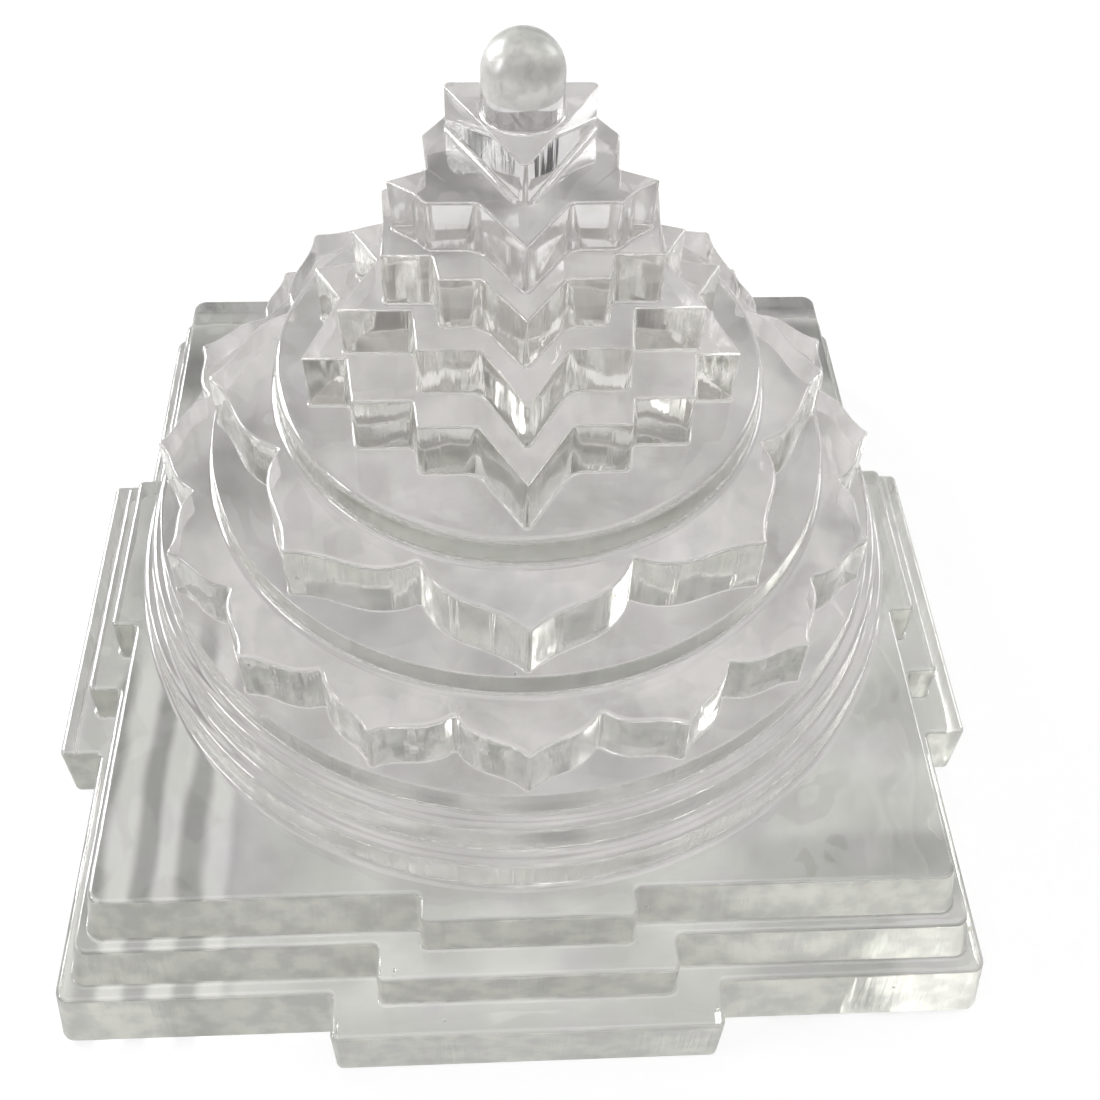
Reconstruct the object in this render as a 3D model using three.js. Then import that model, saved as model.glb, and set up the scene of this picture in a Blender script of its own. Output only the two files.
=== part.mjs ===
import * as THREE from 'three';

// A stepped Shri Yantra carved in clear rock crystal. From the foot up it has three square plates
// with a gate on each side, three round steps, a ring of sixteen petals, a disc, a ring of eight
// petals, a disc, four star tiers, a triangle and a domed bindu. Units are millimetres, +Z is up,
// the front faces -Y, and the origin is the centre of the foot. Each level is as wide as the level
// above it and a named ledge, so the sizes below are set from the bindu outwards.

// Heights of the levels, from the foot up
const LOWER_PLATE_HEIGHT = 9;
const MIDDLE_PLATE_HEIGHT = 6;
const UPPER_PLATE_HEIGHT = 6.5;
const LOWER_RING_HEIGHT = 4.5;
const MIDDLE_RING_HEIGHT = 4.5;
const SIXTEEN_DISC_HEIGHT = 3.75;
const SIXTEEN_LOTUS_HEIGHT = 6.75;
const EIGHT_DISC_HEIGHT = 3.25;
const EIGHT_LOTUS_HEIGHT = 7;
const STAR_DISC_HEIGHT = 3.75;
const FOURTEEN_TIER_HEIGHT = 6.75;
const OUTER_TEN_TIER_HEIGHT = 5.75;
const INNER_TEN_TIER_HEIGHT = 6;
const EIGHT_TIER_HEIGHT = 5.5;
const TRIANGLE_HEIGHT = 4.5;

// Bindu: a dome on a short round neck, with a coved collar at its foot
const BINDU_RADIUS = 3.85;
const BINDU_NECK_HEIGHT = 4.15;
const BINDU_COVE_RADIUS = 0.5;
const BINDU_COLLAR_LIP = 0.15;

// Triangle, whose centre and bindu stand a little behind the middle of the plan
const TRIANGLE_LEDGE = 0.05;
const PEAK_SETBACK = 1.9;

// Ledges between the front tips of the star tiers, from the triangle outwards
const EIGHT_TIER_LEDGE = 5.2;
const INNER_TEN_LEDGE = 3.5;
const OUTER_TEN_LEDGE = 4.7;
const FOURTEEN_LEDGE = 4.1;
const STAR_DISC_LEDGE = 1.15;

// Lotus rings and the round steps that carry them
const EIGHT_VALLEY_LEDGE = 1.25;
const EIGHT_PETAL_LENGTH = 6.3;
const EIGHT_DISC_LEDGE = 0.4;
const SIXTEEN_VALLEY_LEDGE = 2.6;
const SIXTEEN_PETAL_LENGTH = 4.1;
const SIXTEEN_DISC_LEDGE = 0.4;
const MIDDLE_RING_LEDGE = 1.65;
const LOWER_RING_LEDGE = 1.7;

// Square plates and their gates
const UPPER_PLATE_LEDGE = 1;
const MIDDLE_PLATE_LEDGE = 2.4;
const LOWER_PLATE_LEDGE = 2.65;
const UPPER_GATE_WIDTH = 22.1;
const MIDDLE_GATE_LEDGE = 4.55;
const LOWER_GATE_LEDGE = 5;
const UPPER_GATE_STANDOUT = 2.5;
const MIDDLE_GATE_STANDOUT = 3.35;
const LOWER_GATE_STANDOUT = 4.3;

// How far the softened corners of the plans reach along their sides, and the radius of the round
// steps' top rims
const PLATE_CORNER_ROUND = 1.6;
const GATE_CORNER_ROUND = 0.8;
const GATE_VALLEY_ROUND = 0.6;
const TIP_ROUND = 0.6;
const VALLEY_ROUND = 1.4;
const NOTCH_ROUND = 0.7;
const PETAL_TIP_ROUND = 0.5;
const PETAL_VALLEY_ROUND = 0.4;
const RIM_ROUND = 0.2;
const ROUND_LIMIT_RATIO = 0.45;

// Course of half a petal's edge. At the curve's two handles: the share of the half angle that is
// left to the tip, and the share of the petal's length that is behind.
const PETAL_NECK_RATIO = 0.62;
const PETAL_SWELL_RATIO = 0.74;
const PETAL_SHOULDER_RATIO = 0.3;
const PETAL_SLOPE_RATIO = 0.38;

// Counts of the petals and of the facets on the curves
const SIXTEEN_PETALS = 16;
const EIGHT_PETALS = 8;
const ROUND_STEPS = 4;
const SIXTEEN_PETAL_STEPS = 7;
const EIGHT_PETAL_STEPS = 11;
const RING_FACETS = 96;
const BINDU_FACETS = 48;
const DOME_STEPS = 9;
const RIM_STEPS = 2;
const COVE_STEPS = 3;
const TRIANGLE_CORNERS = 3;

// Look of the polished crystal
const POLISH_ROUGHNESS = 0.08;
const CRYSTAL_OPACITY = 0.6;

// Reach of each level, from the bindu outwards
const BINDU_FOOT_RADIUS = BINDU_RADIUS + BINDU_COVE_RADIUS;
const TRIANGLE_INRADIUS = BINDU_FOOT_RADIUS + TRIANGLE_LEDGE;
const TRIANGLE_CORNER_RADIUS = 2 * TRIANGLE_INRADIUS;
const EIGHT_TIER_REACH = TRIANGLE_CORNER_RADIUS - PEAK_SETBACK + EIGHT_TIER_LEDGE;
const INNER_TEN_REACH = EIGHT_TIER_REACH + INNER_TEN_LEDGE;
const OUTER_TEN_REACH = INNER_TEN_REACH + OUTER_TEN_LEDGE;
const FOURTEEN_REACH = OUTER_TEN_REACH + FOURTEEN_LEDGE;
const STAR_DISC_RADIUS = FOURTEEN_REACH + STAR_DISC_LEDGE;
const EIGHT_VALLEY_RADIUS = STAR_DISC_RADIUS + EIGHT_VALLEY_LEDGE;
const EIGHT_TIP_RADIUS = EIGHT_VALLEY_RADIUS + EIGHT_PETAL_LENGTH;
const EIGHT_DISC_RADIUS = EIGHT_TIP_RADIUS + EIGHT_DISC_LEDGE;
const SIXTEEN_VALLEY_RADIUS = EIGHT_DISC_RADIUS + SIXTEEN_VALLEY_LEDGE;
const SIXTEEN_TIP_RADIUS = SIXTEEN_VALLEY_RADIUS + SIXTEEN_PETAL_LENGTH;
const SIXTEEN_DISC_RADIUS = SIXTEEN_TIP_RADIUS + SIXTEEN_DISC_LEDGE;
const MIDDLE_RING_RADIUS = SIXTEEN_DISC_RADIUS + MIDDLE_RING_LEDGE;
const LOWER_RING_RADIUS = MIDDLE_RING_RADIUS + LOWER_RING_LEDGE;
const UPPER_PLATE_HALF = LOWER_RING_RADIUS + UPPER_PLATE_LEDGE;
const MIDDLE_PLATE_HALF = UPPER_PLATE_HALF + MIDDLE_PLATE_LEDGE;
const LOWER_PLATE_HALF = MIDDLE_PLATE_HALF + LOWER_PLATE_LEDGE;
const UPPER_GATE_HALF = UPPER_GATE_WIDTH / 2;
const MIDDLE_GATE_HALF = UPPER_GATE_HALF + MIDDLE_GATE_LEDGE;
const LOWER_GATE_HALF = MIDDLE_GATE_HALF + LOWER_GATE_LEDGE;

// Right half of each star's plan as corners [x, y] in shares of its reach, with the front tip at
// y = -1 and the back tip at y = 1. The left half is its mirror image.
const FOURTEEN_POINT_RATIOS = [
  [0, -1],
  [0.184, -0.705],
  [0.418, -0.705],
  [0.434, -0.566],
  [0.672, -0.566],
  [0.705, -0.328],
  [0.885, -0.328],
  [0.754, 0.025],
  [0.869, 0.217],
  [0.697, 0.254],
  [0.664, 0.459],
  [0.467, 0.492],
  [0.434, 0.664],
  [0.184, 0.689],
  [0, 1],
];
const OUTER_TEN_POINT_RATIOS = [
  [0, -1],
  [0.207, -0.631],
  [0.498, -0.631],
  [0.522, -0.365],
  [0.872, -0.365],
  [0.7, -0.01],
  [0.833, 0.212],
  [0.571, 0.296],
  [0.522, 0.552],
  [0.212, 0.591],
  [0, 1],
];
const INNER_TEN_POINT_RATIOS = [
  [0, -1],
  [0.25, -0.635],
  [0.506, -0.635],
  [0.545, -0.423],
  [0.853, -0.423],
  [0.843, -0.103],
  [0.865, 0.205],
  [0.641, 0.314],
  [0.564, 0.596],
  [0.231, 0.667],
  [0, 1],
];
const EIGHT_POINT_RATIOS = [
  [0, -1],
  [0.347, -0.488],
  [0.736, -0.488],
  [0.818, -0.38],
  [1.041, -0.215],
  [0.736, -0.074],
  [0.777, 0.364],
  [0.587, 0.636],
  [0, 1],
];

// Clear crystal, slightly tinted so that neighbouring levels can be told apart
function crystal(color) {
  return new THREE.MeshStandardMaterial({
    color,
    roughness: POLISH_ROUGHNESS,
    metalness: 0,
    transparent: true,
    opacity: CRYSTAL_OPACITY,
  });
}

// Point on the line from one corner towards another, a given length away
function stepTowards(from, to, length) {
  return from.clone().add(to.clone().sub(from).setLength(length));
}

// Closed plan through corners that are each softened by their own round, which takes at most
// a little less than half of the shorter side beside it. A corner with no round stays a point.
function softShape(corners) {
  const shape = new THREE.Shape();
  corners.forEach(({ at, round }, index) => {
    const before = corners.at(index - 1).at;
    const after = corners[(index + 1) % corners.length].at;
    const room = ROUND_LIMIT_RATIO * Math.min(at.distanceTo(before), at.distanceTo(after));
    const start = stepTowards(at, before, Math.min(round, room));
    const end = stepTowards(at, after, Math.min(round, room));
    if (index === 0) {
      shape.moveTo(start.x, start.y);
    } else {
      shape.lineTo(start.x, start.y);
    }
    if (round > 0) {
      shape.quadraticCurveTo(at.x, at.y, end.x, end.y);
    }
  });
  shape.closePath();
  return shape;
}

// Flat slab of a given height over a plan
function slab(shape, height) {
  return new THREE.ExtrudeGeometry(shape, {
    depth: height,
    bevelEnabled: false,
    curveSegments: ROUND_STEPS,
  });
}

// Solid turned about the Z axis from a profile of [radius, height] points
function turned(profile, facets) {
  const points = profile.map(([radius, height]) => new THREE.Vector2(radius, height));
  return new THREE.LatheGeometry(points, facets).rotateX(Math.PI / 2);
}

// Points of an arc about a centre, in a profile
function arcPoints(centre, radius, fromAngle, toAngle, steps) {
  const points = [];
  for (let i = 0; i <= steps; i += 1) {
    const angle = fromAngle + ((toAngle - fromAngle) * i) / steps;
    points.push([centre[0] + radius * Math.cos(angle), centre[1] + radius * Math.sin(angle)]);
  }
  return points;
}

// Square plate with a gate that stands out in the middle of each side
function gatedPlate(half, gateHalf, gateStandout, height) {
  const reach = half + gateStandout;
  const frontSide = [
    [-half, -half, PLATE_CORNER_ROUND],
    [-gateHalf, -half, GATE_VALLEY_ROUND],
    [-gateHalf, -reach, GATE_CORNER_ROUND],
    [gateHalf, -reach, GATE_CORNER_ROUND],
    [gateHalf, -half, GATE_VALLEY_ROUND],
  ];
  const centre = new THREE.Vector2(0, 0);
  const corners = [];
  for (let quarter = 0; quarter < 4; quarter += 1) {
    frontSide.forEach(([x, y, round]) => {
      const at = new THREE.Vector2(x, y).rotateAround(centre, (quarter * Math.PI) / 2);
      corners.push({ at, round });
    });
  }
  return slab(softShape(corners), height);
}

// Round step with a rounded top rim
function roundStep(radius, height) {
  const rim = Math.min(RIM_ROUND, height / 2);
  const rimCentre = [radius - rim, height - rim];
  const profile = [
    [0, 0],
    [radius, 0],
    ...arcPoints(rimCentre, rim, 0, Math.PI / 2, RIM_STEPS),
    [0, height],
  ];
  return turned(profile, RING_FACETS);
}

// Ring of pointed petals, one of them facing the viewer. Half a petal is a curve of angle and
// radius that leaves the valley steeply, swells into a shoulder and runs out into the tip.
function lotus(petals, valleyRadius, tipRadius, steps, height) {
  const pitch = (2 * Math.PI) / petals;
  const length = tipRadius - valleyRadius;
  const halfAngle = pitch / 2;
  const halfPetal = new THREE.CubicBezierCurve(
    new THREE.Vector2(halfAngle, valleyRadius),
    new THREE.Vector2(halfAngle * PETAL_NECK_RATIO, valleyRadius + length * PETAL_SWELL_RATIO),
    new THREE.Vector2(halfAngle * PETAL_SHOULDER_RATIO, valleyRadius + length * PETAL_SLOPE_RATIO),
    new THREE.Vector2(0, tipRadius),
  ).getPoints(steps);
  const corners = [];
  for (let petal = 0; petal < petals; petal += 1) {
    const middle = petal * pitch - Math.PI / 2;
    const rising = halfPetal.map(({ x, y }) => ({ at: polar(middle - x, y), round: 0 }));
    const falling = halfPetal.slice(1, -1).map(({ x, y }) => ({ at: polar(middle + x, y), round: 0 }));
    rising.at(0).round = PETAL_VALLEY_ROUND;
    rising.at(-1).round = PETAL_TIP_ROUND;
    corners.push(...rising, ...falling.reverse());
  }
  return slab(softShape(corners), height);
}

// Plan point at an angle and a radius
function polar(angle, radius) {
  return new THREE.Vector2(radius * Math.cos(angle), radius * Math.sin(angle));
}

// Star tier over a half plan and its mirror image, with crisp tips and softer notches. The two
// valleys beside the front tip are the softest. A corner where the outline turns left, as it runs
// counter-clockwise, is a tip.
function starTier(halfPlan, reach, height) {
  const right = halfPlan.map(([x, y]) => new THREE.Vector2(x * reach, y * reach));
  const left = right.slice(1, -1).map(({ x, y }) => new THREE.Vector2(-x, y));
  const outline = [...right, ...left.reverse()];
  const corners = outline.map((at, index) => {
    const before = outline.at(index - 1);
    const after = outline[(index + 1) % outline.length];
    const turn = at.clone().sub(before).cross(after.clone().sub(at));
    const besideFrontTip = index === 1 || index === outline.length - 1;
    const hollowRound = besideFrontTip ? VALLEY_ROUND : NOTCH_ROUND;
    return { at, round: turn > 0 ? TIP_ROUND : hollowRound };
  });
  return slab(softShape(corners), height);
}

// Triangle with a corner towards the viewer, about the axis of the bindu
function triangleTier() {
  const corners = [];
  for (let corner = 0; corner < TRIANGLE_CORNERS; corner += 1) {
    const angle = (corner * 2 * Math.PI) / TRIANGLE_CORNERS - Math.PI / 2;
    corners.push({ at: polar(angle, TRIANGLE_CORNER_RADIUS), round: TIP_ROUND });
  }
  return slab(softShape(corners), TRIANGLE_HEIGHT).translate(0, PEAK_SETBACK, 0);
}

// Domed bindu on its neck, with a cove that flares into a thin collar at the foot
function bindu() {
  const coveCentre = [BINDU_FOOT_RADIUS, BINDU_COLLAR_LIP + BINDU_COVE_RADIUS];
  const domeCentre = [0, BINDU_NECK_HEIGHT];
  const dome = arcPoints(domeCentre, BINDU_RADIUS, 0, Math.PI / 2, DOME_STEPS);
  const profile = [
    [0, 0],
    [BINDU_FOOT_RADIUS, 0],
    ...arcPoints(coveCentre, BINDU_COVE_RADIUS, -Math.PI / 2, -Math.PI, COVE_STEPS),
    ...dome.slice(0, -1),
    [0, BINDU_NECK_HEIGHT + BINDU_RADIUS],
  ];
  return turned(profile, BINDU_FACETS).translate(0, PEAK_SETBACK, 0);
}

// Each level stands on the one before it
function stack(levels) {
  const group = new THREE.Group();
  let foot = 0;
  levels.forEach(({ name, height, geometry, color }) => {
    const mesh = new THREE.Mesh(geometry, crystal(color));
    mesh.name = name;
    mesh.position.z = foot;
    group.add(mesh);
    foot += height;
  });
  return group;
}

const yantra = stack([
  {
    name: 'lower_base_plate',
    height: LOWER_PLATE_HEIGHT,
    geometry: gatedPlate(LOWER_PLATE_HALF, LOWER_GATE_HALF, LOWER_GATE_STANDOUT, LOWER_PLATE_HEIGHT),
    color: 0xc4c5bf,
  },
  {
    name: 'middle_base_plate',
    height: MIDDLE_PLATE_HEIGHT,
    geometry: gatedPlate(MIDDLE_PLATE_HALF, MIDDLE_GATE_HALF, MIDDLE_GATE_STANDOUT, MIDDLE_PLATE_HEIGHT),
    color: 0xcbcdc8,
  },
  {
    name: 'upper_base_plate',
    height: UPPER_PLATE_HEIGHT,
    geometry: gatedPlate(UPPER_PLATE_HALF, UPPER_GATE_HALF, UPPER_GATE_STANDOUT, UPPER_PLATE_HEIGHT),
    color: 0xd2d3cf,
  },
  {
    name: 'lower_ring_step',
    height: LOWER_RING_HEIGHT,
    geometry: roundStep(LOWER_RING_RADIUS, LOWER_RING_HEIGHT),
    color: 0xc6c7c2,
  },
  {
    name: 'middle_ring_step',
    height: MIDDLE_RING_HEIGHT,
    geometry: roundStep(MIDDLE_RING_RADIUS, MIDDLE_RING_HEIGHT),
    color: 0xcfd0cc,
  },
  {
    name: 'sixteen_petal_disc',
    height: SIXTEEN_DISC_HEIGHT,
    geometry: roundStep(SIXTEEN_DISC_RADIUS, SIXTEEN_DISC_HEIGHT),
    color: 0xc8c9c5,
  },
  {
    name: 'sixteen_petal_lotus',
    height: SIXTEEN_LOTUS_HEIGHT,
    geometry: lotus(
      SIXTEEN_PETALS,
      SIXTEEN_VALLEY_RADIUS,
      SIXTEEN_TIP_RADIUS,
      SIXTEEN_PETAL_STEPS,
      SIXTEEN_LOTUS_HEIGHT,
    ),
    color: 0xd4d5d3,
  },
  {
    name: 'eight_petal_disc',
    height: EIGHT_DISC_HEIGHT,
    geometry: roundStep(EIGHT_DISC_RADIUS, EIGHT_DISC_HEIGHT),
    color: 0xc9c8ca,
  },
  {
    name: 'eight_petal_lotus',
    height: EIGHT_LOTUS_HEIGHT,
    geometry: lotus(
      EIGHT_PETALS,
      EIGHT_VALLEY_RADIUS,
      EIGHT_TIP_RADIUS,
      EIGHT_PETAL_STEPS,
      EIGHT_LOTUS_HEIGHT,
    ),
    color: 0xd6d5d7,
  },
  {
    name: 'star_disc',
    height: STAR_DISC_HEIGHT,
    geometry: roundStep(STAR_DISC_RADIUS, STAR_DISC_HEIGHT),
    color: 0xc8c6ca,
  },
  {
    name: 'fourteen_point_tier',
    height: FOURTEEN_TIER_HEIGHT,
    geometry: starTier(FOURTEEN_POINT_RATIOS, FOURTEEN_REACH, FOURTEEN_TIER_HEIGHT),
    color: 0xd3d3d2,
  },
  {
    name: 'outer_ten_point_tier',
    height: OUTER_TEN_TIER_HEIGHT,
    geometry: starTier(OUTER_TEN_POINT_RATIOS, OUTER_TEN_REACH, OUTER_TEN_TIER_HEIGHT),
    color: 0xc9cac6,
  },
  {
    name: 'inner_ten_point_tier',
    height: INNER_TEN_TIER_HEIGHT,
    geometry: starTier(INNER_TEN_POINT_RATIOS, INNER_TEN_REACH, INNER_TEN_TIER_HEIGHT),
    color: 0xd5d6d3,
  },
  {
    name: 'eight_point_tier',
    height: EIGHT_TIER_HEIGHT,
    geometry: starTier(EIGHT_POINT_RATIOS, EIGHT_TIER_REACH, EIGHT_TIER_HEIGHT),
    color: 0xcacbc8,
  },
  {
    name: 'triangle_tier',
    height: TRIANGLE_HEIGHT,
    geometry: triangleTier(),
    color: 0xd7d8d6,
  },
  {
    name: 'bindu',
    height: BINDU_NECK_HEIGHT + BINDU_RADIUS,
    geometry: bindu(),
    color: 0xc4c4be,
  },
]);

export default yantra;
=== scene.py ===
import math

import bmesh
import bpy
from bpy.props import FloatProperty, FloatVectorProperty, IntProperty, PointerProperty
from mathutils import Matrix, Vector


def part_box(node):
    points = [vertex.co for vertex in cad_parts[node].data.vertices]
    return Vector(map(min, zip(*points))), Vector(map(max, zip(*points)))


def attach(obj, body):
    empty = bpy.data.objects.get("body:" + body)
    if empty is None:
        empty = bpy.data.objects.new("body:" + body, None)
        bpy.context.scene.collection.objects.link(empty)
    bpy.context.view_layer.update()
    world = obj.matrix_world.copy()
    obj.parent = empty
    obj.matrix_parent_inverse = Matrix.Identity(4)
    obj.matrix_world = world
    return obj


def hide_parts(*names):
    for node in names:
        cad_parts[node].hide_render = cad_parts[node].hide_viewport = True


bl_info = {
    "name": "Crystal Shri Yantra",
    "version": (1, 0, 0),
    "blender": (4, 5, 0),
    "location": "View3D > Sidebar > Yantra",
    "description": "Builds a stepped Shri Yantra of clear rock crystal, level by level",
    "category": "Object",
}

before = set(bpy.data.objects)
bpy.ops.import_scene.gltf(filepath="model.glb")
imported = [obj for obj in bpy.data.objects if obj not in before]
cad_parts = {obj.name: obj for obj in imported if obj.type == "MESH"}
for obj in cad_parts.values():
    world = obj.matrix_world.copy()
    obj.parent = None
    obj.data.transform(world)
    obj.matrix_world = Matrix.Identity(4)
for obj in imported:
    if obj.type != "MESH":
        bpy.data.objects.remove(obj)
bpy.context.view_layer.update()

MM = 0.001

# The levels, from the foot up, as the frame names them
PLATES = ("lower_base_plate", "middle_base_plate", "upper_base_plate")
RINGS = ("lower_ring_step", "middle_ring_step")
LOTUSES = ("sixteen_petal_disc", "sixteen_petal_lotus", "eight_petal_disc", "eight_petal_lotus")
STARS = (
    "star_disc",
    "fourteen_point_tier",
    "outer_ten_point_tier",
    "inner_ten_point_tier",
    "eight_point_tier",
)
PEAK = "triangle_tier"
BINDU = "bindu"
LEVELS = PLATES + RINGS + LOTUSES + STARS + (PEAK, BINDU)

# Of each level: whose rim and cove it has, and its polish
WORK = {
    "lower_base_plate": ("plate", "plate"),
    "middle_base_plate": ("plate", "plate"),
    "upper_base_plate": ("plate", "plate"),
    "lower_ring_step": ("ring", "disc"),
    "middle_ring_step": ("ring", "disc"),
    "sixteen_petal_disc": ("petal_disc", "disc"),
    "sixteen_petal_lotus": ("lotus", "tier"),
    "eight_petal_disc": ("petal_disc", "disc"),
    "eight_petal_lotus": ("lotus", "tier"),
    "star_disc": ("ring", "disc"),
    "fourteen_point_tier": ("star", "tier"),
    "outer_ten_point_tier": ("star", "tier"),
    "inner_ten_point_tier": ("star", "tier"),
    "eight_point_tier": ("star", "peak"),
    "triangle_tier": ("triangle", "peak"),
    "bindu": ("bindu", "peak"),
}

# Of each polish: roughness that the upright faces have over the tops, depth in mm of the upright
# faces' ripples and of their grinding marks, and share of their flecks
POLISHES = {
    "plate": (0.28, 0.2, 0.1, 1.0),
    "disc": (0.12, 0.12, 0.05, 0.5),
    "tier": (0.02, 0.2, 0.04, 0.35),
    "peak": (0.02, 0.035, 0.01, 0.25),
}

# Plan sizes of the levels, in mm: half side, half gate width and gate reach of the plates, radii
# of the discs, petals with their valley and tip radii and their steps, and reach of the stars
PLATE_PLANS = {
    "lower_base_plate": (50.0, 20.6, 54.3),
    "middle_base_plate": (47.35, 15.6, 50.7),
    "upper_base_plate": (44.95, 11.05, 47.45),
}
DISC_RADII = {
    "lower_ring_step": 43.95,
    "middle_ring_step": 42.25,
    "sixteen_petal_disc": 40.6,
    "eight_petal_disc": 33.5,
    "star_disc": 25.55,
}
LOTUS_PLANS = {
    "sixteen_petal_lotus": (16, 36.1, 40.2, 7),
    "eight_petal_lotus": (8, 26.8, 33.1, 11),
}
STAR_REACHES = {
    "fourteen_point_tier": 24.4,
    "outer_ten_point_tier": 20.3,
    "inner_ten_point_tier": 15.6,
    "eight_point_tier": 12.1,
}

# The curve of a petal's side, from valley to tip, as shares of its half angle and its length
PETAL_CURVE = ((1, 0), (0.62, 0.74), (0.3, 0.38), (0, 1))

# Right half of each star's plan, as shares of its front reach, from the front tip to the back one
STAR_HALVES = {
    "fourteen_point_tier": (
        (0, -1), (0.184, -0.705), (0.418, -0.705), (0.434, -0.566), (0.672, -0.566),
        (0.705, -0.328), (0.885, -0.328), (0.754, 0.025), (0.869, 0.217), (0.697, 0.254),
        (0.664, 0.459), (0.467, 0.492), (0.434, 0.664), (0.184, 0.689), (0, 1),
    ),
    "outer_ten_point_tier": (
        (0, -1), (0.207, -0.631), (0.498, -0.631), (0.522, -0.365), (0.872, -0.365),
        (0.7, -0.01), (0.833, 0.212), (0.571, 0.296), (0.522, 0.552), (0.212, 0.591), (0, 1),
    ),
    "inner_ten_point_tier": (
        (0, -1), (0.25, -0.635), (0.506, -0.635), (0.545, -0.423), (0.853, -0.423),
        (0.843, -0.103), (0.865, 0.205), (0.641, 0.314), (0.564, 0.596), (0.231, 0.667), (0, 1),
    ),
    "eight_point_tier": (
        (0, -1), (0.347, -0.488), (0.736, -0.488), (0.818, -0.38), (1.041, -0.215),
        (0.736, -0.074), (0.777, 0.364), (0.587, 0.636), (0, 1),
    ),
}

# Triangle and bindu, in mm, which stand a little behind the middle. The bindu's neck is clear up
# to where its ground part begins, a little below the dome.
TRIANGLE_CORNER_RADIUS = 8.8
PEAK_SETBACK = 1.9
BINDU_RADIUS = 3.85
BINDU_NECK = 4.15
GROUND_FROM = 2.5

# How much further out the plates' sides stand at the foot than at the rim, in mm
PLATE_FLARE = 0.9

# Softening of the plans' corners, in mm along the sides of a corner. The triangle's gets more with
# each mm that its foot spreads out.
PLATE_CORNER = 1.6
GATE_CORNER = 0.8
GATE_VALLEY = 0.6
STAR_TIP = 0.6
STAR_VALLEY = 1.4
STAR_NOTCH = 0.7
TRIANGLE_TIP = 1.0
TRIANGLE_SPREAD = 1.8
PETAL_TIP = 0.5
PETAL_VALLEY = 0.4
# Share of a corner's softening that is left along a star's rim
RIM_EASE = 0.35
# Share of a side that one corner's softening may take, and the least softening, in mm
ROOM = 0.45
LEAST_ROUND = 0.02

# Places of the other materials on a piece, after its polished crystal
JOINT_SLOT = 1
GROUND_SLOT = 2

# The crystal: index of quartz, sizes and depths in mm of its patterns, and how strong the waves
# are on the walls and the ripples on the tops
QUARTZ_IOR = 1.544
WAVE_SIZE = 10.0
WAVE_DEPTH = 0.7
WAVES_ON_WALLS = 0.25
RIPPLES_ON_TOPS = 0.05
CLOUD_SIZE = 12.0
FLECK_SIZE = 3.0
CHIP_CELL = 7.0
CHIP_RADIUS = 0.315
CHIP_DEPTH = 0.15
VEIL_SIZE = 1.4
GRIT_SIZE = 0.9
GRIT_DEPTH = 0.04
# Upright patterns of the walls: their spacing in mm, how much height counts in them, and detail
RIPPLES = (2.5, 0.22, 0.6)
GRINDING_MARKS = (0.7, 0.05, 2.0)

# Settings of a Map Range node that turns one range into another with soft ends
SOFTLY = {"interpolation_type": "SMOOTHSTEP"}
# Such ranges: two values of a pattern, and what each of them turns into
WALL_BY_LEVELNESS = (0.4, 0.98, 1.0, 0.0)
ROUGHNESS_BY_CLOUD = (0.35, 0.7, 0.02, 0.08)
TINT_BY_CLOUD = (0.5, 0.75, 0.0, 1.0)
FLECKS_BETWEEN = (0.35, 0.68)
CHIP_BY_CHANCE = (0.65, 0.7, 0.0, 1.0)
DARKENING_BY_CHIP_DEPTH = (-1.0, -0.3, 0.8, 0.0)
TINT_BY_VEIL = (0.4, 0.65, 0.0, 1.0)
ROUGHNESS_BY_VEIL = (0.35, 0.65, 0.32, 0.4)

# The floor: its size in metres, how far in mm it lies under the foot, the share of its own light,
# the size in mm of its patches of painted light, the spacing in mm and phase of its painted
# streaks of light, and their brightness
FLOOR_SIZE = 6
FLOOR_DROP = 0.1
FLOOR_GLOW = 0.85
PATCH_SIZE = 14.0
LIGHT_BY_PATCH = (0.3, 0.7, 0.76, 1.1)
STREAK_SPACING = 5.45
STREAK_PHASE = 5.217
LIGHT_BY_STREAK = (0.1, 0.9, 0.58, 1.2)
# Where the painted streaks end towards the middle and towards the back, where the painted shadow
# under the right of the front begins, and where the painted bright band and the whole pattern
# end, in mm
STREAKS_LEFT_OF = (-34.5, -31.0)
STREAKS_BEFORE = (-12.0, -2.0)
SHADOW_RIGHT_OF = (20.0, 30.0)
SHADOW_BEFORE = (-34.5, -32.0)
SHADOW_DEPTH = 0.3
BAND_BEFORE = (-41.0, -38.5)
BAND_GLOW = 0.2
PATTERN_WITHIN = (48.0, 52.0)
# Spots of painted shade on the floor under the crystal: middle, inner and outer radius in mm, and
# depth
PAINTED_SHADE_SPOTS = (
    (-48.0, 42.0, 3.6, 9.0, 0.45),
    (-37.0, 43.5, 2.0, 5.0, 0.3),
    (45.0, 45.0, 3.6, 9.0, 0.45),
    (40.0, 36.0, 7.2, 18.0, 0.2),
    (-38.0, 14.0, 8.0, 20.0, 0.22),
    (-24.0, 36.0, 4.8, 12.0, 0.14),
    (-8.0, 42.0, 4.4, 11.0, 0.35),
    (12.0, 42.0, 3.6, 9.0, 0.35),
)
# A painted soft shadow on the floor behind the object, in the same way
SHADOW_BEHIND = (3.0, 78.0, 12.0, 26.0, 0.22)

# Lamps: place and size in metres, and power in watts. They point at the lamps' aim.
LAMP_AIM = Vector((0, 0, 0.04))
LAMPS = (
    ("soft_box_top", (0.02, -0.3, 1.2), (1.5, 1.2), 7.0),
    ("window_left", (-0.62, 0.42, 0.34), (0.36, 0.5), 12.0),
    ("window_side", (-0.8, -0.15, 0.35), (0.2, 0.4), 4.0),
    ("soft_box_right", (0.75, 0.45, 0.4), (0.25, 0.35), 2.2),
)
# Light of the surroundings on the object, where 1 is the white that is seen
FILL_LIGHT = 0.6
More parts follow.
